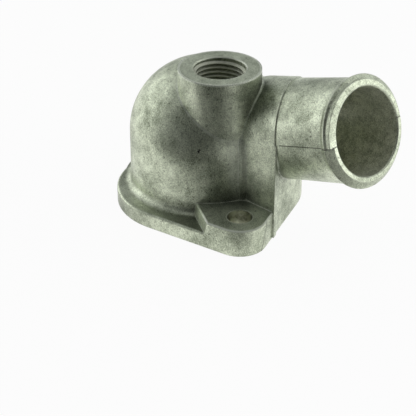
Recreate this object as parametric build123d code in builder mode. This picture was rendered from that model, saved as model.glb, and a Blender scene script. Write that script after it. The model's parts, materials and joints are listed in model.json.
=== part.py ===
"""Coolant water outlet: a thermostat housing die cast in one piece of aluminium.

Millimetres, +Z up. The origin is the centre of the thermostat opening, on the
flange's machined underside. +X runs along the bolt line, towards the ear that
the hose neck leans over, and the neck points between +X and +Y, rising.
"""
import os
from math import cos, radians, sin, sqrt, tan

from build123d import *

os.makedirs("parts", exist_ok=True)

# Flange: two bolt ears and two round sides, joined by straight edges
bolt_spacing = 79.4
bolt_centre_ahead = 3.7
bolt_hole_radius = 4.9
ear_radius = 10.6
flange_half_width = 38.6
flange_side_radius = 29.9
flange_thickness = 6.2
flange_edge_round = 0.9
casting_draft = 0.5

# Ear pads, raised under the bolt heads
ear_height = 11.3
ear_pad_width = 30.0
ear_side_draft = 9.0
ear_edge_chamfer = 0.5

# Dome over the thermostat
dome_radius = 31.4
dome_crown_flat = 1.8
dome_height = 57.5
dome_draft = 0.8
dome_foot_cove = 3.0

# Hose neck, turned and raised from the bolt line
neck_heading = 26.3
neck_rise = 18.7
neck_offset = 12.4
neck_reach = 72.4
neck_root_reach = 6.0
mouth_height = 49.3
neck_radius = 19.6
shoulder_step = 0.3
shoulder_draft = 5.0
parting_height = 40.4
hose_reach = 27.0
body_splay = 4.0
flare_reach = 50.0

# Cove between the dome and the flat side under the neck
side_cove_radius = 2.6
side_cove_top = 35.0
side_cove_tip = 41.0
side_cove_tip_radius = 0.6
side_cove_tip_inset = 1.2

# Hose bead and lip at the mouth
bead_radius = 21.0
bead_width = 5.2
bead_peak = 2.4
lip_drop = 1.2
upper_lip_radius = 19.4
upper_lip_shift = 1.0
mouth_chamfer = 0.5

# Flash left along a corner of the block, where two parts of the die meet
flash_width = 2.6
flash_height = 0.6

# Sender boss with its pipe thread
boss_along = 13.3
boss_across = 1.2
boss_radius = 16.2
boss_height = 60.2
boss_draft = 0.8
port_radius = 10.2
port_chamfer = 0.4
port_depth = 15.0

# Thermostat recess and water passages
recess_radius = 27.2
recess_depth = 3.0
wall_thickness = 4.5
neck_bore_radius = 16.4
boss_wall = 4.5

# Directions and places worked out from the sizes above
heading = radians(neck_heading)
rise = radians(neck_rise)
ear_reach = bolt_spacing / 2
body_radius = neck_radius + shoulder_step
chamber_radius = dome_radius - wall_thickness
dome_crown_radius = dome_radius - dome_crown_flat
crown_start = dome_height - dome_crown_radius
mouth_centre = Vector(
    neck_reach * cos(heading) - neck_offset * sin(heading),
    neck_reach * sin(heading) + neck_offset * cos(heading),
    mouth_height,
)
neck_dir = Vector(cos(heading) * cos(rise), sin(heading) * cos(rise), sin(rise))
neck_side = Vector(sin(heading), -cos(heading), 0)
neck_section = Plane(origin=mouth_centre, x_dir=neck_dir, z_dir=neck_side)
neck_axis = Axis(mouth_centre, neck_dir)
mouth_section = Plane(origin=mouth_centre, x_dir=neck_side, z_dir=neck_dir)
neck_front = Plane(origin=(0, 0, 0), x_dir=-neck_side, z_dir=(cos(heading), sin(heading), 0))
neck_equator = Plane(origin=mouth_centre, z_dir=neck_section.y_dir)
neck_total = (neck_reach - neck_root_reach) / cos(rise)
parting_inset = parting_height * tan(radians(casting_draft))
block_half_width = body_radius + parting_inset
near_wall = block_half_width - neck_offset
shoulder_ahead = neck_reach - hose_reach * cos(rise)
splay = radians(body_splay)
near_wall_root = near_wall + shoulder_ahead * tan(splay)


def flange_outline(inset):
    """Outline of the flange seen from above, moved inwards by inset."""
    side_reach = flange_half_width - flange_side_radius
    with BuildSketch(Plane.XY) as outline:
        with BuildLine():
            for side in (-1, 1):
                CenterArc(
                    (bolt_centre_ahead, side * side_reach), flange_side_radius - inset, 0, 360
                )
                CenterArc(
                    (bolt_centre_ahead + side * ear_reach, 0), ear_radius - inset, 0, 360
                )
        make_hull()
    return outline.sketch


def outline_column(proud):
    """The flange outline carried up to the height of the boss, proud of it by a little."""
    shoulder_inset = (boss_height - parting_height) * tan(radians(shoulder_draft))
    with BuildPart() as column:
        with BuildSketch(Plane.XY):
            add(flange_outline(-proud))
        with BuildSketch(Plane.XY.offset(parting_height)):
            add(flange_outline(parting_inset - proud))
        with BuildSketch(Plane.XY.offset(boss_height)):
            add(flange_outline(parting_inset + shoulder_inset - proud))
        loft(ruled=True)
    return column.part


def block_body(near_inset):
    """Block under the neck: its near side meets the dome at a splay, the far one runs off it."""
    side_lean = mouth_height * tan(radians(casting_draft))
    near_wall_mouth = near_wall_root - neck_reach * tan(splay)
    far_wall_mouth = block_half_width + neck_offset
    with BuildPart() as body:
        for ahead, near, far in (
            (0, near_wall_root - near_inset, dome_radius),
            (neck_reach, near_wall_mouth - near_inset, far_wall_mouth),
        ):
            with BuildSketch(neck_front.offset(ahead)):
                with BuildLine():
                    Polyline(
                        (-near, 0),
                        (far, 0),
                        (far - side_lean, mouth_height),
                        (side_lean - near, mouth_height),
                        close=True,
                    )
                make_face()
        loft(ruled=True)
    return body.part


# Everything that stands on the flange outline shares its drafted side
outline_body = outline_column(0)

# Flange plate
with BuildPart() as flange:
    add(outline_body)
    split(bisect_by=Plane.XY.offset(flange_thickness), keep=Keep.BOTTOM)
    fillet(flange.faces().sort_by(Axis.Z)[-1].edges(), flange_edge_round)

# Both ear pads are one raised strip, cut to the outline of the flange
with BuildPart() as ear_pads:
    with BuildSketch(Plane.YZ):
        Trapezoid(ear_pad_width, ear_height, 90 - ear_side_draft, align=(Align.CENTER, Align.MIN))
    extrude(amount=bolt_spacing, both=True)
    add(outline_body, mode=Mode.INTERSECT)
    chamfer(ear_pads.faces().sort_by(Axis.Z)[-1].edges(), ear_edge_chamfer)

# Dome: drafted side, round crown, and a cove where it meets the flange
with BuildPart() as dome:
    cove_top = flange_thickness + dome_foot_cove
    foot_radius = dome_radius + (crown_start - cove_top) * tan(radians(dome_draft))
    cove_radius = foot_radius + dome_foot_cove
    with BuildSketch(Plane.XZ):
        with BuildLine():
            Polyline((0, 0), (cove_radius, 0), (cove_radius, flange_thickness))
            RadiusArc((cove_radius, flange_thickness), (foot_radius, cove_top), dome_foot_cove)
            Line((foot_radius, cove_top), (dome_radius, crown_start))
            RadiusArc((dome_radius, crown_start), (dome_crown_flat, dome_height), -dome_crown_radius)
            Polyline((dome_crown_flat, dome_height), (0, dome_height), (0, 0))
        make_face()
    revolve(axis=Axis.Z)

# Body of the neck: it ends in the plane of the flange's edge, which is the shoulder
with BuildPart() as neck_body:
    with BuildSketch(neck_section):
        with BuildLine():
            RadiusArc((-neck_total - body_radius, 0), (-neck_total, body_radius), body_radius)
            Polyline(
                (-neck_total, body_radius), (0, body_radius), (0, 0), (-neck_total - body_radius, 0)
            )
        make_face()
    revolve(axis=neck_axis)
    add(outline_body, mode=Mode.INTERSECT)

# Flare of that body towards the dome, all on the side of the flat wall
with BuildPart() as neck_flare:
    flare = (flare_reach - hose_reach) * tan(splay) / 2
    with BuildSketch(mouth_section.offset(-hose_reach + mouth_chamfer)):
        Circle(body_radius)
    with BuildSketch(mouth_section.offset(-flare_reach)):
        with Locations((flare, 0)):
            Circle(body_radius + flare)
    loft(ruled=True)
    add(outline_body, mode=Mode.INTERSECT)

# Neck: hose length, bead and lip
with BuildPart() as neck:
    with BuildSketch(neck_section):
        with BuildLine():
            Polyline((-neck_total, 0), (-neck_total, neck_radius), (-bead_width, neck_radius))
            RadiusArc((-bead_width, neck_radius), (-bead_peak, bead_radius), bead_width)
            Polyline(
                (-bead_peak, bead_radius), (0, neck_radius - lip_drop), (0, 0), (-neck_total, 0)
            )
        make_face()
    revolve(axis=neck_axis)

# Upper half of the lip, which is wider than the lower half on the near side
with BuildPart() as upper_lip:
    with BuildSketch(mouth_section):
        with Locations((upper_lip_shift, 0)):
            Circle(upper_lip_radius)
    extrude(amount=-bead_peak)
    split(bisect_by=neck_equator, keep=Keep.TOP)

# Block under the neck, cut to the flange outline
with BuildPart() as neck_block:
    add(block_body(0))
    add(outline_body, mode=Mode.INTERSECT)
    split(bisect_by=neck_equator, keep=Keep.BOTTOM)

# Cove in the corner between the dome and the flat side of the block
wall_heading = heading + splay
with BuildPart() as side_cove:
    for level, cove, inset in (
        (0, side_cove_radius, 0),
        (crown_start, side_cove_radius, 0),
        (side_cove_top, side_cove_radius, 0),
        (side_cove_tip, side_cove_tip_radius, side_cove_tip_inset),
    ):
        crown_rise = max(level - crown_start, 0)
        dome_here = dome_crown_flat + sqrt(dome_crown_radius**2 - crown_rise**2)
        wall = near_wall_root * cos(splay) - level * tan(radians(casting_draft)) - inset
        cove_ahead = sqrt((dome_here + cove) ** 2 - (wall + cove) ** 2)
        dome_share = dome_here / (dome_here + cove)
        on_dome = (cove_ahead * dome_share, (wall + cove) * dome_share)
        with BuildSketch(
            Plane(
                origin=(0, 0, level),
                x_dir=(cos(wall_heading), sin(wall_heading), 0),
                z_dir=(0, 0, -1),
            )
        ):
            with BuildLine():
                RadiusArc((cove_ahead, wall), on_dome, -cove)
                Polyline(
                    on_dome,
                    (cove_ahead * dome_share - side_cove_radius, wall - side_cove_radius),
                    (cove_ahead, wall),
                )
            make_face()
    loft(ruled=True)

# Flash along the corner between the block's near side and its end
with BuildPart() as corner_flash:
    add(block_body(0))
    add(block_body(flash_width), mode=Mode.SUBTRACT)
    add(outline_column(flash_height), mode=Mode.INTERSECT)
    split(bisect_by=neck_equator, keep=Keep.BOTTOM)

# Sender boss, down into the dome
with BuildPart() as boss:
    with BuildSketch(Plane.XY.offset(boss_height)):
        with Locations((boss_along, boss_across)):
            Circle(boss_radius)
    extrude(amount=-(boss_height - crown_start / 2), taper=-boss_draft)

# Space for the thermostat and the water, open at the flange
with BuildPart() as chamber:
    chamber_crown = dome_crown_radius - wall_thickness
    with BuildSketch(Plane.XZ):
        with BuildLine():
            Polyline(
                (0, 0),
                (recess_radius, 0),
                (recess_radius, recess_depth),
                (chamber_radius, recess_depth),
                (chamber_radius, crown_start),
            )
            RadiusArc(
                (chamber_radius, crown_start),
                (dome_crown_flat, crown_start + chamber_crown),
                -chamber_crown,
            )
            Polyline(
                (dome_crown_flat, crown_start + chamber_crown), (0, crown_start + chamber_crown), (0, 0)
            )
        make_face()
    revolve(axis=Axis.Z)
    with BuildSketch(Plane.XY.offset(boss_height - port_depth)):
        with Locations((boss_along, boss_across)):
            Circle(port_radius + boss_wall)
    extrude(amount=port_depth, mode=Mode.SUBTRACT)

# Whole casting
with BuildPart() as water_outlet:
    add(dome.part)
    add(boss.part)
    add(flange.part)
    add(ear_pads.part)
    add(neck_block.part)
    add(neck_body.part)
    add(neck_flare.part)
    add(neck.part)
    add(upper_lip.part)
    add(side_cove.part)
    add(corner_flash.part)
    add(chamber.part, mode=Mode.SUBTRACT)
    with BuildSketch(neck_section):
        with BuildLine():
            RadiusArc(
                (-neck_total - neck_bore_radius, 0), (-neck_total, neck_bore_radius), neck_bore_radius
            )
            Polyline(
                (-neck_total, neck_bore_radius),
                (-mouth_chamfer, neck_bore_radius),
                (bead_width, neck_bore_radius + mouth_chamfer + bead_width),
                (bead_width, 0),
                (-neck_total - neck_bore_radius, 0),
            )
        make_face()
    revolve(axis=neck_axis, mode=Mode.SUBTRACT)
    with Locations((boss_along, boss_across, boss_height)):
        CounterSinkHole(
            port_radius, port_radius + port_chamfer, depth=2 * port_depth, counter_sink_angle=90
        )
    with Locations(
        (bolt_centre_ahead + ear_reach, 0, ear_height), (bolt_centre_ahead - ear_reach, 0, ear_height)
    ):
        Hole(bolt_hole_radius, depth=ear_height)

water_outlet.part.label = "water_outlet"
export_step(water_outlet.part, "parts/water_outlet.step")
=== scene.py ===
"""Looks for the cast coolant water outlet: camera, soft studio light, the cast metal skin
and the pipe thread in the sender boss.
Metres, in the frame of the solid: origin in the thermostat opening, +Z up.
"""

import json
from math import cos, pi, radians, sin, tan

import bpy
from mathutils import Euler, Matrix, Vector


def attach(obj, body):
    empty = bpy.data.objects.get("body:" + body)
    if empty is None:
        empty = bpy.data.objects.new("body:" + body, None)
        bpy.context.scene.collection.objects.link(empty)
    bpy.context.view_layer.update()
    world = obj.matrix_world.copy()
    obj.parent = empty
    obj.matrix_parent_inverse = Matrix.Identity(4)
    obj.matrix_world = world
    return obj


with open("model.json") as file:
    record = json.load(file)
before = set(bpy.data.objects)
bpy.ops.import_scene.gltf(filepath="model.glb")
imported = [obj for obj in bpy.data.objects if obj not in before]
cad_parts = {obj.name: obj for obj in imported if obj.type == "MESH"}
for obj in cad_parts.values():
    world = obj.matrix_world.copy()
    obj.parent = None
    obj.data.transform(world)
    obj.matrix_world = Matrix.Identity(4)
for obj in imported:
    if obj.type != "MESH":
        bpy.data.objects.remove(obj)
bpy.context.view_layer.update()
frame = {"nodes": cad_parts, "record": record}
casting = frame["nodes"]["water_outlet"]
mounts = {mount["name"]: mount for mount in frame["record"]["mounts"]}

MM = 0.001
UP = Vector((0, 0, 1))


# Places and sizes that the record states
def mount_place(name):
    """Where a mount is."""
    return Vector(mounts[name]["pos_m"])


def mount_axis(name):
    """The way a mount points."""
    return Vector(mounts[name]["axis"]).normalized()


def mount_size(name, key):
    """One of a mount's sizes, in metres."""
    return mounts[name]["dims"][key] * MM


# Sender boss and its port
port_centre = mount_place("sender_port")
port_radius = mount_size("sender_port", "r_mm")
boss_top = 60.2 * MM
boss_radius = 16.2 * MM
boss_taper = tan(radians(0.8))
cutter_ring_pitch = 0.8 * MM

# Pipe thread in the port: the pitch of a 1/2-14 thread, and about two thirds of its depth
thread_pitch = 1.814 * MM
thread_depth = 1.0 * MM
thread_sink = 0.05 * MM
thread_turns = 7
thread_steps = 72
thread_start_below = 0.5 * MM
thread_flank_share = 0.48
thread_land_share = 0.07

# Hose neck
neck_point = mount_place("neck_bore")
neck_axis = mount_axis("neck_bore")
neck_up = neck_axis.cross(UP).normalized().cross(neck_axis)
neck_bore_radius = mount_size("neck_bore", "r_mm")
neck_radius = mount_size("hose_neck", "r_mm")
hose_start_along = (mount_place("hose_neck") - neck_point).dot(neck_axis)
shoulder_along = hose_start_along - mount_size("hose_neck", "length_mm")

# Thermostat opening, and bolt holes in the ears
opening_centre = mount_place("thermostat_seat")
opening_radius = mount_size("thermostat_seat", "r_mm")
bolt_middle = mount_place("bolts")
bolt_radius = mount_size("bolts", "hole_r_mm")
bolt_reach = Vector((mount_size("bolts", "spacing_x_mm") / 2, 0, 0))
near_bolt = bolt_middle + bolt_reach
far_bolt = bolt_middle - bolt_reach
ear_top = 11.3 * MM

# Upright corner between the dome and the side wall
wall_corner = Vector((31.2, 3.2, 0)) * MM
corner_across = Vector((0.29, 0.96, 0)).normalized()
corner_foot = 14 * MM
corner_top = 36 * MM

# Marks on this casting, and the ways that its sides with painted highlight, painted shade and
# painted light point
blow_hole = Vector((28.1, -11.7, 33.8)) * MM
ear_line_point = Vector((51.5, 6.85, 2.5)) * MM
ear_line_across = Vector((-0.635, 0.663, -0.398)).normalized()
port_highlight_side = Vector((-0.48, 0.88, 0)).normalized()
flange_shaded_end_side = Vector((-0.29, -0.96, 0)).normalized()
side_wall_normal = Vector((0.44, -0.90, 0)).normalized()
end_wall_normal = Vector((neck_axis.x, neck_axis.y, 0)).normalized()

# Camera, an estimate of the one that took the photograph, whose focal length is a choice
image_side = 416
focal_pixels = 1100
axis_pixel_x = 210.72
sensor_width = 36
camera_place = Vector((0.3823, -0.1126, 0.2335))
camera_pitch = radians(31.44)
camera_turn = radians(73.4)
camera_roll = radians(-0.17)

# Directions of the picture, by which the light and the dark patch of painted shade on the paper
# are placed
object_middle = Vector((0.02, 0.01, 0.03))
image_right = Vector((cos(camera_turn), sin(camera_turn), 0))
image_away = Vector((-sin(camera_turn), cos(camera_turn), 0))
towards_camera = (camera_place - object_middle).normalized()

# White tent round the object, dim on the camera's side
tent_colour = (0.96, 0.985, 1, 1)
tent_white = 0.50
tent_dim = 0.05
tent_white_until = 0.1
tent_dim_from = 0.95

# Paper that the object stands on, and a dark patch past its front edge, painted shade seen only in
# reflections
floor_size = 6
floor_gap = 0.2 * MM
paper_glow = 0.95
paper_roughness = 0.9
paper_front_edge = 58 * MM
paper_right_edge = 77 * MM
opening_shade = 1.0 * MM

# Grain of the cast skin, and how its edges and corners are found
cloud_size = 12 * MM
patch_size = 3.2 * MM
speck_size = 1.1 * MM
speckle_size = 0.45 * MM
pit_spacing = 5 * MM
edge_radius = 0.4 * MM
boss_edge_radius = 0.8 * MM
corner_reach = 30 * MM
crease_reach = 2.2 * MM

# Shine and relief of the cast skin
bare_metallic = 0.85
stained_metallic = 0.3
dark_roughness = 0.48
pale_roughness = 0.34
relief_strength = 0.5
relief_depth = 0.2 * MM

# Cut metal of the thread
cut_mark_size = 1.2 * MM
cut_metallic = 0.8
cut_smooth_angle = radians(35)


def photo_camera():
    """A camera that sees the casting about as the photograph shows it."""
    data = bpy.data.cameras.new("studio_camera")
    data.sensor_width = sensor_width
    data.lens = sensor_width * focal_pixels / image_side
    data.shift_x = (image_side / 2 - axis_pixel_x) / image_side
    data.clip_start = 0.01
    camera = bpy.data.objects.new("studio_camera", data)
    bpy.context.scene.collection.objects.link(camera)
    camera.location = camera_place
    aim = Euler((pi / 2 - camera_pitch, 0, camera_turn)).to_matrix()
    camera.rotation_euler = (aim @ Matrix.Rotation(camera_roll, 3, "Z")).to_euler()
    bpy.context.scene.camera = camera


def softbox(name, right, away, up, width, height, power):
    """An area light that faces the object."""
    data = bpy.data.lights.new(name, "AREA")
    data.shape = "RECTANGLE"
    data.size = width
    data.size_y = height
    data.energy = power
    lamp = bpy.data.objects.new(name, data)
    bpy.context.scene.collection.objects.link(lamp)
    lamp.location = object_middle + image_right * right + image_away * away + UP * up
    lamp.rotation_euler = (object_middle - lamp.location).to_track_quat("-Z", "Y").to_euler()


def light_tent():
    """The world: the tent as light and in reflections, plain white behind the object."""
    world = bpy.data.worlds.new("studio_world")
    bpy.context.scene.world = world
    world.use_nodes = True
    nodes = world.node_tree.nodes
    link = world.node_tree.links.new
    tent = nodes["Background"]
    tent.inputs["Color"].default_value = tent_colour
    direction = nodes.new("ShaderNodeTexCoord")
    facing = nodes.new("ShaderNodeVectorMath")
    facing.operation = "DOT_PRODUCT"
    facing.inputs[1].default_value = towards_camera
    link(direction.outputs["Generated"], facing.inputs[0])
    strength = nodes.new("ShaderNodeMapRange")
    strength.interpolation_type = "SMOOTHSTEP"
    strength.inputs["From Min"].default_value = tent_white_until
    strength.inputs["From Max"].default_value = tent_dim_from
    strength.inputs["To Min"].default_value = tent_white
    strength.inputs["To Max"].default_value = tent_dim
    link(facing.outputs["Value"], strength.inputs["Value"])
    link(strength.outputs["Result"], tent.inputs["Strength"])
    backdrop = nodes.new("ShaderNodeBackground")
    backdrop.inputs["Color"].default_value = (1, 1, 1, 1)
    ray_kind = nodes.new("ShaderNodeLightPath")
    mix = nodes.new("ShaderNodeMixShader")
    link(ray_kind.outputs["Is Camera Ray"], mix.inputs["Fac"])
    link(tent.outputs["Background"], mix.inputs[1])
    link(backdrop.outputs["Background"], mix.inputs[2])
    link(mix.outputs["Shader"], nodes["World Output"].inputs["Surface"])


photo_camera()
softbox("left_softbox", right=-0.60, away=0.30, up=0.14, width=0.9, height=0.7, power=1.7)
softbox("right_softbox", right=0.60, away=-0.05, up=0.10, width=0.6, height=0.4, power=1.0)
softbox("top_softbox", right=0.45, away=0.20, up=0.40, width=0.8, height=0.6, power=0.5)
softbox("front_strip", right=0.05, away=-0.15, up=0.50, width=0.5, height=0.08, power=0.12)
light_tent()
bpy.context.scene.view_settings.view_transform = "Standard"


def rgb(red, green, blue):
    """A colour from its 0-255 screen values, in linear light."""
    def linear(value):
        share = value / 255
        return share / 12.92 if share <= 0.04045 else ((share + 0.055) / 1.055) ** 2.4
    return (linear(red), linear(green), linear(blue), 1)


cast_dark = rgb(134, 142, 121)
cast_pale = rgb(234, 242, 217)
# Dark of the specks and of grime, also used as painted shade in corners and at the flange's end
dirt_and_shade_dark = rgb(56, 60, 52)
# Pale of painted highlights on rim lines, tight corners and hole rings, and of wear on edges
highlight_and_wear_pale = rgb(222, 228, 210)
# Painted light: paler colours for the side wall and end wall
lit_wall_dark = rgb(142, 152, 128)
lit_wall_pale = rgb(248, 255, 230)
bore_dark = rgb(160, 164, 146)
bore_pale = rgb(236, 238, 218)
line_dark = rgb(60, 64, 54)
machined_grey = rgb(160, 168, 148)
drilled_pale = rgb(186, 190, 166)
drilled_dark = rgb(112, 114, 96)
pore_shade_black = rgb(24, 26, 22)
thread_dark = rgb(140, 144, 128)
thread_pale = rgb(212, 216, 198)
paper_white = rgb(243, 243, 243)
# Painted shade: dark of the paper past its front edge, seen only in reflections
reflected_shade_dark = rgb(95, 95, 92)


class Recipe:
    """Node tree of one material, with short calls for the nodes it is made of."""

    def __init__(self, name):
        self.material = bpy.data.materials.new(name)
        self.material.use_nodes = True
        self.tree = self.material.node_tree
        self.shader = self.tree.nodes["Principled BSDF"]
        self.place = self.tree.nodes.new("ShaderNodeTexCoord").outputs["Object"]

    def node(self, kind, **values):
        made = self.tree.nodes.new(kind)
        for key, value in values.items():
            setattr(made, key, value)
        return made

    def link(self, source, target):
        """Feeds a socket from another one, or sets it to a plain value."""
        if isinstance(source, bpy.types.NodeSocket):
            self.tree.links.new(source, target)
        else:
            target.default_value = source

    def math(self, operation, first, second=0.0):
        made = self.node("ShaderNodeMath", operation=operation)
        self.link(first, made.inputs[0])
        self.link(second, made.inputs[1])
        return made.outputs[0]

    def vector(self, operation, first, second=(0, 0, 0), output="Vector"):
        made = self.node("ShaderNodeVectorMath", operation=operation)
        self.link(first, made.inputs[0])
        self.link(second, made.inputs[1])
        return made.outputs[output]

    def noise(self, grain, detail=3.0, roughness=0.55):
        """Cloudy noise whose features are about grain across."""
        made = self.node("ShaderNodeTexNoise")
        self.link(self.place, made.inputs["Vector"])
        made.inputs["Scale"].default_value = 1 / grain
        made.inputs["Detail"].default_value = detail
        made.inputs["Roughness"].default_value = roughness
        return made.outputs["Fac"]

    def mix(self, share, first, second):
        """Colour between two others."""
        made = self.node("ShaderNodeMix", data_type="RGBA")
        self.link(share, made.inputs["Factor"])
        self.link(first, made.inputs["A"])
        self.link(second, made.inputs["B"])
        return made.outputs["Result"]

    def between(self, value, low, high, to_low=0.0, to_high=1.0):
        """Value mapped from one range onto another, held at its ends."""
        made = self.node("ShaderNodeMapRange")
        self.link(value, made.inputs["Value"])
        made.inputs["From Min"].default_value = low
        made.inputs["From Max"].default_value = high
        made.inputs["To Min"].default_value = to_low
        made.inputs["To Max"].default_value = to_high
        return made.outputs["Result"]

    def above(self, value, edge, fade):
        """Mask that is 0 up to edge and full past it by fade."""
        return self.between(value, edge, edge + fade)

    def below(self, value, edge, fade):
        """Mask that is full up to edge and 0 past it by fade."""
        return self.between(value, edge + fade, edge)

    def product(self, first, *others):
        """All the values multiplied."""
        for other in others:
            first = self.math("MULTIPLY", first, other)
        return first

    def total(self, first, *others):
        """All the values added up."""
        for other in others:
            first = self.math("ADD", first, other)
        return first

    def strongest(self, first, *others):
        """The largest of the masks."""
        for other in others:
            first = self.math("MAXIMUM", first, other)
        return first

    def less(self, value, *parts):
        """Value with each mask taken off it, by its own amount."""
        for mask, amount in parts:
            value = self.math("SUBTRACT", value, self.product(mask, amount))
        return value

    def offset(self, point):
        """The way from point to the surface."""
        return self.vector("SUBTRACT", self.place, point)

    def reach(self, direction, point=(0, 0, 0)):
        """How far the surface lies from point, along a direction."""
        return self.vector("DOT_PRODUCT", self.offset(point), direction, "Value")

    def distance(self, point):
        """How far the surface lies from point."""
        return self.vector("LENGTH", self.offset(point), output="Value")

    def flat_distance(self, point):
        """How far the surface lies from point, seen from above."""
        flat = self.vector("MULTIPLY", self.offset(point), (1, 1, 0))
        return self.vector("LENGTH", flat, output="Value")


class CastSkin(Recipe):
    """Skin of the casting: its noise, the places on it, and a mask for each kind of mark, painted
    highlight and painted shade.
    """

    def __init__(self):
        super().__init__("cast_aluminium")
        self.clouds = self.noise(cloud_size, detail=3, roughness=0.6)
        self.patches = self.noise(patch_size, detail=5, roughness=0.65)
        self.speckle = self.noise(speckle_size, detail=2)
        mottle = self.total(self.clouds, self.product(self.patches, 0.6), self.speckle)
        self.tone = self.between(mottle, 1.0, 1.6)
        self.normal = self.node("ShaderNodeNewGeometry").outputs["Normal"]
        self.facing_up = self.facing(UP)
        self.level = self.reach(UP)
        self.from_port = self.flat_distance(port_centre)
        self.from_corner = self.flat_distance(wall_corner)
        self.along_neck = self.reach(neck_axis, neck_point)
        across = self.vector("CROSS_PRODUCT", self.offset(neck_point), neck_axis)
        self.from_neck = self.vector("LENGTH", across, output="Value")
        self.rounded = self.rounded_normal()
        self.colour = self.mix(self.tone, cast_dark, cast_pale)

    def paint(self, mask, colour, strength=1.0):
        """Lays a colour over what is there, where the mask is."""
        self.colour = self.mix(self.product(mask, strength), self.colour, colour)

    def facing(self, direction):
        """1 where the surface faces a direction, 0 where it lies along it."""
        return self.vector("DOT_PRODUCT", self.normal, direction, "Value")

    def openness(self, distance):
        """1 on a plain surface, less in a corner, within a distance."""
        made = self.node("ShaderNodeAmbientOcclusion", samples=8, only_local=True)
        made.inputs["Distance"].default_value = distance
        return made.outputs["AO"]

    def rounded_normal(self):
        """Normals as if every edge were rounded off, more so round the boss face."""
        made = self.node("ShaderNodeBevel", samples=6)
        at_boss_top = self.above(self.level, boss_top - 1.4 * MM, fade=0.2 * MM)
        radius = self.between(at_boss_top, 0, 1, edge_radius, boss_edge_radius)
        self.link(radius, made.inputs["Radius"])
        return made.outputs["Normal"]

    def specks(self):
        """Small dark specks."""
        grain = self.noise(speck_size, detail=2, roughness=0.7)
        return self.between(grain, 0.40, 0.30, 0, 0.55)

    def corner_without_shade(self):
        """The upright corner between the dome and the side wall, which gets no painted corner
        shade.
        """
        near = self.below(self.from_corner, 2.5 * MM, fade=2.5 * MM)
        return self.product(near, self.above(self.level, corner_foot, fade=8 * MM))

    def corner_shade_and_dirt(self, shadeless_corner):
        """Painted shade, with some grime, in the corners, where the casting is open to less than
        the whole sky.
        """
        open_share = self.total(self.openness(corner_reach), self.product(self.clouds, 0.3))
        shade_and_dirt = self.between(open_share, 0.90, 0.55, 0, 0.72)
        return self.product(shade_and_dirt, self.math("SUBTRACT", 1.0, shadeless_corner))

    def crease_highlights(self):
        """Painted highlights in tight corners, in broken dashes."""
        tight = self.between(self.openness(crease_reach), 0.62, 0.50)
        dashed = self.between(self.patches, 0.38, 0.55, 0.35, 0.9)
        return self.product(self.strongest(tight, self.boss_root_highlight(), self.corner_highlight()), dashed)

    def boss_root_highlight(self):
        """Painted highlight: a pale line round the root of the boss."""
        depth = self.math("SUBTRACT", boss_top, self.level)
        boss_wall = self.math("ADD", self.product(depth, boss_taper), boss_radius)
        off_boss = self.math("SUBTRACT", self.from_port, boss_wall)
        return self.product(
            self.above(off_boss, 0.03 * MM, fade=0.07 * MM),
            self.below(off_boss, 0.40 * MM, fade=0.25 * MM),
            self.above(self.level, 34 * MM, fade=8 * MM),
        )

    def corner_highlight(self):
        """Painted highlight: a pale line down the corner between the dome and the side wall."""
        off_corner = self.math("ABSOLUTE", self.reach(corner_across, wall_corner))
        return self.product(
            self.below(off_corner, 0.15 * MM, fade=0.20 * MM),
            self.below(self.from_corner, 3 * MM, fade=1 * MM),
            self.above(self.level, corner_foot, fade=4 * MM),
            self.below(self.level, corner_top, fade=4 * MM),
        )

    def worn_and_lit_edges(self):
        """Every outer edge, here and there: edge wear and a painted highlight."""
        plain = self.vector("DOT_PRODUCT", self.rounded, self.normal, "Value")
        bent = self.between(self.math("SUBTRACT", 1.0, plain), 0.006, 0.08)
        return self.product(bent, self.between(self.patches, 0.35, 0.55))

    def boss_rim_highlight(self):
        """Painted highlight along the ragged rim of the boss face."""
        return self.product(
            self.above(self.level, boss_top - 0.8 * MM, fade=0.4 * MM),
            self.above(self.from_port, boss_radius - 1.0 * MM, fade=0.3 * MM),
            self.below(self.from_port, boss_radius + 0.3 * MM, fade=0.1 * MM),
            self.between(self.speckle, 0.35, 0.50),
        )

    def port_edge_highlight(self):
        """Chamfer of the port, with a painted highlight on one side."""
        return self.product(
            self.above(self.from_port, port_radius - 0.1 * MM, fade=0.1 * MM),
            self.below(self.from_port, port_radius + 0.35 * MM, fade=0.15 * MM),
            self.above(self.level, boss_top - 0.5 * MM, fade=0.1 * MM),
            self.above(self.reach(port_highlight_side, port_centre), -3 * MM, fade=8 * MM),
        )

    def ear_rim_highlight(self):
        """Painted highlight on the chamfer round the near ear."""
        return self.product(
            self.above(self.facing_up, 0.30, fade=0.15),
            self.below(self.facing_up, 0.90, fade=0.07),
            self.above(self.level, ear_top - 0.6 * MM, fade=0.1 * MM),
            self.below(self.level, ear_top + 0.1 * MM, fade=0.1 * MM),
            self.below(self.flat_distance(near_bolt), 13 * MM, fade=2 * MM),
        )

    def neck_inside(self):
        """Bore of the neck, up to where it opens into the dome."""
        in_bore = self.below(self.from_neck, neck_bore_radius, fade=0.15 * MM)
        return self.product(in_bore, self.above(self.along_neck, -62 * MM, fade=4 * MM))

    def coolant_stain(self):
        """Mottled colour inside the neck."""
        share = self.between(self.product(self.patches, self.speckle), 0.15, 0.35)
        return self.mix(share, bore_dark, bore_pale)

    def lit_walls(self):
        """Side wall and end wall of the block under the neck, with painted light that makes them
        paler.
        """
        side_wall = self.product(
            self.above(self.facing(side_wall_normal), 0.90, fade=0.07),
            self.above(self.level, 12 * MM, fade=8 * MM),
        )
        end_wall = self.above(self.facing(end_wall_normal), 0.90, fade=0.07)
        return self.product(
            self.strongest(side_wall, end_wall),
            self.above(self.along_neck, -36 * MM, fade=4 * MM),
            self.above(self.from_neck, neck_radius + 0.4 * MM, fade=0.5 * MM),
        )

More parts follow.
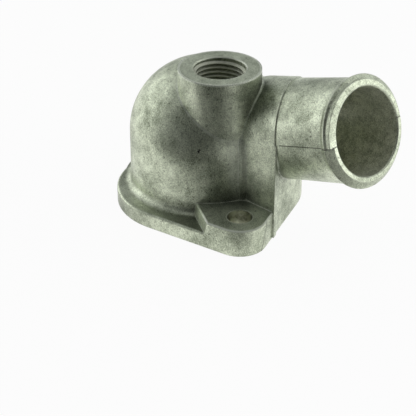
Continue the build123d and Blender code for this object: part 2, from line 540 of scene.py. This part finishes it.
    def flange_top_darkening(self):
        """Darker patches on top of the flange, fainter towards its end with the painted shade."""
        return self.product(
            self.between(self.facing_up, 0.70, 1.0),
            self.below(self.level, 9.5 * MM, fade=1.0 * MM),
            self.between(self.patches, 0.30, 0.55, 0.15, 0.50),
            self.between(self.reach(flange_shaded_end_side), 35 * MM, 5 * MM, 0.5, 1.0),
        )

    def flange_end_shade(self):
        """Painted shade: a dark reflection on the outside of the flange's end."""
        return self.product(
            self.below(self.facing_up, 0.3, fade=0.2),
            self.below(self.level, 7 * MM, fade=2 * MM),
            self.above(self.reach(flange_shaded_end_side), 15 * MM, fade=23 * MM),
        )

    def die_lines(self):
        """Fine lines along the neck and down the near ear, where the halves of the die meet."""
        off_neck_line = self.math("ABSOLUTE", self.reach(neck_up, neck_point))
        neck_line = self.product(
            self.below(off_neck_line, 0.10 * MM, fade=0.18 * MM),
            self.above(self.from_neck, neck_bore_radius, fade=0.2 * MM),
            self.above(self.along_neck, shoulder_along, fade=0.3 * MM),
        )
        off_ear_line = self.math("ABSOLUTE", self.reach(ear_line_across, ear_line_point))
        ear_line = self.product(
            self.below(off_ear_line, 0.10 * MM, fade=0.18 * MM),
            self.below(self.distance(ear_line_point), 10 * MM, fade=1 * MM),
            self.below(self.level, ear_top - 0.5 * MM, fade=0.2 * MM),
        )
        return self.strongest(neck_line, ear_line)

    def in_ears(self):
        """Everything no higher than the ears."""
        return self.below(self.level, ear_top + 0.2 * MM, fade=0.2 * MM)

    def bolt_holes(self):
        """Walls of the bolt holes, and the painted highlight rings round their tops."""
        walls = []
        rings = []
        for bolt in (far_bolt, near_bolt):
            from_bolt = self.flat_distance(bolt)
            wall = self.below(from_bolt, bolt_radius, fade=0.15 * MM)
            disc = self.below(from_bolt, bolt_radius + 0.25 * MM, fade=0.2 * MM)
            walls.append(wall)
            rings.append(self.math("SUBTRACT", disc, wall))
        return (
            self.product(self.total(*walls), self.in_ears()),
            self.product(self.total(*rings), self.in_ears()),
        )

    def drilled_metal(self):
        """Mottled colour inside the bolt holes."""
        return self.mix(self.between(self.patches, 0.35, 0.6), drilled_dark, drilled_pale)

    def blow_hole(self):
        """Small ragged hole in the dome, left by gas, painted near black as the shade inside it.
        """
        raggedness = self.product(self.math("SUBTRACT", self.speckle, 0.5), 1.6 * MM)
        ragged = self.total(self.distance(blow_hole), raggedness)
        return self.below(ragged, 0.5 * MM, fade=0.5 * MM)

    def boss_face(self):
        """Machined face of the boss."""
        at_top = self.above(self.level, boss_top - 0.25 * MM, fade=0.20 * MM)
        return self.product(at_top, self.below(self.from_port, boss_radius - 0.3 * MM, 0.2 * MM))

    def cutter_rings(self):
        """Wave across the boss face, ring by ring."""
        return self.math("SINE", self.product(self.from_port, 2 * pi / cutter_ring_pitch))

    def ear_face(self):
        """Flat tops of the ears."""
        return self.product(
            self.above(self.facing_up, 0.97, fade=0.02),
            self.above(self.level, ear_top - 0.3 * MM, fade=0.1 * MM),
            self.in_ears(),
        )

    def pits(self):
        """Depth of the small pits of a sand-like skin."""
        cells = self.node("ShaderNodeTexVoronoi")
        self.link(self.place, cells.inputs["Vector"])
        cells.inputs["Scale"].default_value = 1 / pit_spacing
        return self.between(cells.outputs["Distance"], 0.02, 0.12, -1.0, 0.0)

    def relief(self, height):
        """Puts a height on the surface as fine relief."""
        bump = self.node("ShaderNodeBump")
        bump.inputs["Strength"].default_value = relief_strength
        bump.inputs["Distance"].default_value = relief_depth
        self.link(height, bump.inputs["Height"])
        self.link(self.rounded, bump.inputs["Normal"])
        self.link(bump.outputs["Normal"], self.shader.inputs["Normal"])


def cast_metal():
    """As-cast aluminium: cloudy stains, fine speckle, pits, pale edges from wear and painted
    highlights, machined faces, painted highlights in tight corners, painted light on two walls,
    painted shade in corners.
    """
    skin = CastSkin()
    shadeless_corner = skin.corner_without_shade()
    # Painted light: the upright corner, below its top, painted paler and less of a mirror against
    # its own shade
    lightened_corner = skin.product(shadeless_corner, skin.below(skin.level, corner_top, fade=4 * MM))
    crease_highlights = skin.crease_highlights()
    ear_rim_highlight = skin.ear_rim_highlight()
    rim_highlights = skin.strongest(skin.boss_rim_highlight(), skin.port_edge_highlight(), ear_rim_highlight)
    edges = skin.product(skin.strongest(skin.worn_and_lit_edges(), rim_highlights), 0.85)
    neck_inside = skin.neck_inside()
    lines = skin.die_lines()
    hole_walls, hole_ring_highlights = skin.bolt_holes()
    blow_hole_mark = skin.blow_hole()
    boss_face = skin.boss_face()

    skin.paint(skin.specks(), dirt_and_shade_dark)
    # Painted shade, with some grime, in the corners
    skin.paint(skin.corner_shade_and_dirt(shadeless_corner), dirt_and_shade_dark)
    # Painted light: paler colour in the upright corner
    skin.paint(lightened_corner, highlight_and_wear_pale, strength=0.3)
    # Painted highlights: pale dashes in tight corners, round the boss root and down the upright
    # corner
    skin.paint(crease_highlights, highlight_and_wear_pale)
    # Edge wear and painted highlights on outer edges and rim lines
    skin.paint(edges, highlight_and_wear_pale)
    skin.paint(neck_inside, skin.coolant_stain())
    # Painted light: the side wall and end wall painted paler
    skin.paint(skin.lit_walls(), skin.mix(skin.tone, lit_wall_dark, lit_wall_pale), strength=0.6)
    # Darker patches on top of the flange
    skin.paint(skin.flange_top_darkening(), dirt_and_shade_dark)
    # Painted shade on the outside of the flange's end
    skin.paint(skin.flange_end_shade(), dirt_and_shade_dark, strength=0.45)
    skin.paint(lines, line_dark, strength=0.8)
    # Painted shade inside the gas hole
    skin.paint(blow_hole_mark, pore_shade_black)
    skin.paint(hole_walls, skin.drilled_metal())
    # Painted highlight rings round the tops of the bolt holes
    skin.paint(hole_ring_highlights, highlight_and_wear_pale, strength=0.6)
    skin.paint(boss_face, machined_grey, strength=0.3)
    # Painted highlights on the boss rim, the port chamfer and the ear chamfer
    skin.paint(rim_highlights, highlight_and_wear_pale, strength=0.9)
    skin.link(skin.colour, skin.shader.inputs["Base Color"])

    # Less of a mirror where it is stained inside, where painted highlights and edge wear lie, and
    # in the corner painted lighter
    wear_and_highlights = skin.strongest(edges, crease_highlights, hole_ring_highlights)
    metallic = skin.between(neck_inside, 0, 1, bare_metallic, stained_metallic)
    metallic = skin.less(
        metallic, (wear_and_highlights, 0.5), (lightened_corner, 0.4), (ear_rim_highlight, 0.4), (skin.ear_face(), 0.25)
    )
    skin.link(metallic, skin.shader.inputs["Metallic"])
    roughness = skin.between(skin.tone, 0, 1, dark_roughness, pale_roughness)
    skin.link(skin.less(roughness, (wear_and_highlights, 0.12)), skin.shader.inputs["Roughness"])

    height = skin.total(
        skin.product(skin.speckle, 0.6),
        skin.patches,
        skin.product(skin.pits(), 0.5),
        skin.product(skin.cutter_rings(), boss_face, 0.15),
    )
    skin.relief(skin.less(height, (lines, 1.0), (blow_hole_mark, 1.0)))
    return skin.material


def thread_metal():
    """Cut thread: darker and oilier than the cast skin."""
    cut = Recipe("cut_thread")
    marks = cut.noise(cut_mark_size, detail=3)
    cut.link(cut.mix(marks, thread_dark, thread_pale), cut.shader.inputs["Base Color"])
    cut.shader.inputs["Metallic"].default_value = cut_metallic
    cut.link(cut.between(marks, 0.3, 0.7, 0.35, 0.55), cut.shader.inputs["Roughness"])
    return cut.material


def white_paper():
    """Paper that the camera sees white, with a dark patch of painted shade past its front edge,
    seen only in reflections.
    """
    paper = Recipe("white_paper")
    paper.shader.inputs["Roughness"].default_value = paper_roughness
    glow = paper.node("ShaderNodeEmission")
    glow.inputs["Color"].default_value = (1, 1, 1, 1)
    glow.inputs["Strength"].default_value = 1
    ray_kind = paper.node("ShaderNodeLightPath")
    reflected = ray_kind.outputs["Is Glossy Ray"]

    # Seen through an opening of the casting, it is only as bright as the light that gets there
    seen_straight = ray_kind.outputs["Is Camera Ray"]
    openings = [
        (opening_centre, opening_radius),
        (far_bolt, bolt_radius),
        (near_bolt, bolt_radius),
    ]
    for centre, radius in openings:
        uncovered = paper.above(paper.distance(centre), radius + opening_shade, fade=1.0 * MM)
        seen_straight = paper.product(seen_straight, uncovered)

    past_front = paper.above(paper.reach(-image_away), paper_front_edge, fade=14 * MM)
    left_of_edge = paper.below(paper.reach(image_right), paper_right_edge, fade=7 * MM)
    # Painted shade: past its front edge the paper turns dark, for reflected rays only
    reflected_shade = paper.product(past_front, left_of_edge, reflected)
    glow_share = paper.product(paper.strongest(seen_straight, reflected), paper_glow)
    glow_share = paper.product(glow_share, paper.math("SUBTRACT", 1.0, reflected_shade))
    paper.link(paper.mix(reflected_shade, paper_white, reflected_shade_dark), paper.shader.inputs["Base Color"])

    mix = paper.node("ShaderNodeMixShader")
    paper.link(glow_share, mix.inputs["Fac"])
    paper.link(paper.shader.outputs["BSDF"], mix.inputs[1])
    paper.link(glow.outputs["Emission"], mix.inputs[2])
    output = paper.tree.nodes["Material Output"]
    paper.link(mix.outputs["Shader"], output.inputs["Surface"])
    return paper.material


def deselect_all():
    bpy.ops.object.select_all(action="DESELECT")


def apply_all(piece):
    """Applies every modifier and the piece's own place, so its mesh holds its place."""
    deselect_all()
    piece.select_set(True)
    bpy.context.view_layer.objects.active = piece
    for modifier in list(piece.modifiers):
        bpy.ops.object.modifier_apply(modifier=modifier.name)
    bpy.ops.object.transform_apply(location=True, rotation=True, scale=True)


def thread_profile():
    """Ridge of the thread at its lower end, as radius and level of its four corners."""
    root = port_radius + thread_sink
    crest = port_radius - thread_depth
    flank = thread_pitch * thread_flank_share
    land = thread_pitch * thread_land_share
    bottom = boss_top - thread_start_below - thread_pitch * (thread_turns + 1)
    return [
        (root, bottom),
        (crest, bottom + flank - land),
        (crest, bottom + flank + land),
        (root, bottom + 2 * flank),
    ]


def pipe_thread():
    """Pipe thread in the boss: one ridge wound up the port, closed at both ends."""
    deselect_all()
    bpy.ops.mesh.primitive_circle_add(vertices=4, radius=thread_depth, location=(0, 0, 0))
    ridge = bpy.context.active_object
    ridge.name = "port_thread"
    for corner, (radius, level) in zip(ridge.data.vertices, thread_profile()):
        corner.co = (radius, 0, level)
    wind = ridge.modifiers.new("wind", "SCREW")
    wind.axis = "Z"
    wind.screw_offset = thread_pitch
    wind.iterations = thread_turns
    wind.steps = thread_steps
    wind.render_steps = thread_steps
    wind.use_merge_vertices = True
    ridge.location = (port_centre.x, port_centre.y, 0)
    apply_all(ridge)
    bpy.ops.object.mode_set(mode="EDIT")
    bpy.ops.mesh.select_mode(type="EDGE")
    bpy.ops.mesh.select_all(action="DESELECT")
    bpy.ops.mesh.select_non_manifold()
    bpy.ops.mesh.edge_face_add()
    bpy.ops.mesh.select_all(action="SELECT")
    bpy.ops.mesh.normals_make_consistent(inside=False)
    bpy.ops.object.mode_set(mode="OBJECT")
    bpy.ops.object.shade_smooth_by_angle(angle=cut_smooth_angle)
    ridge.data.materials.append(thread_metal())
    return ridge


casting.data.materials.clear()
casting.data.materials.append(cast_metal())

deselect_all()
bpy.ops.mesh.primitive_plane_add(size=floor_size, location=(0, 0, -floor_gap))
floor = bpy.context.active_object
floor.name = "studio_floor"
floor.data.materials.append(white_paper())

thread = pipe_thread()
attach(thread, "root")
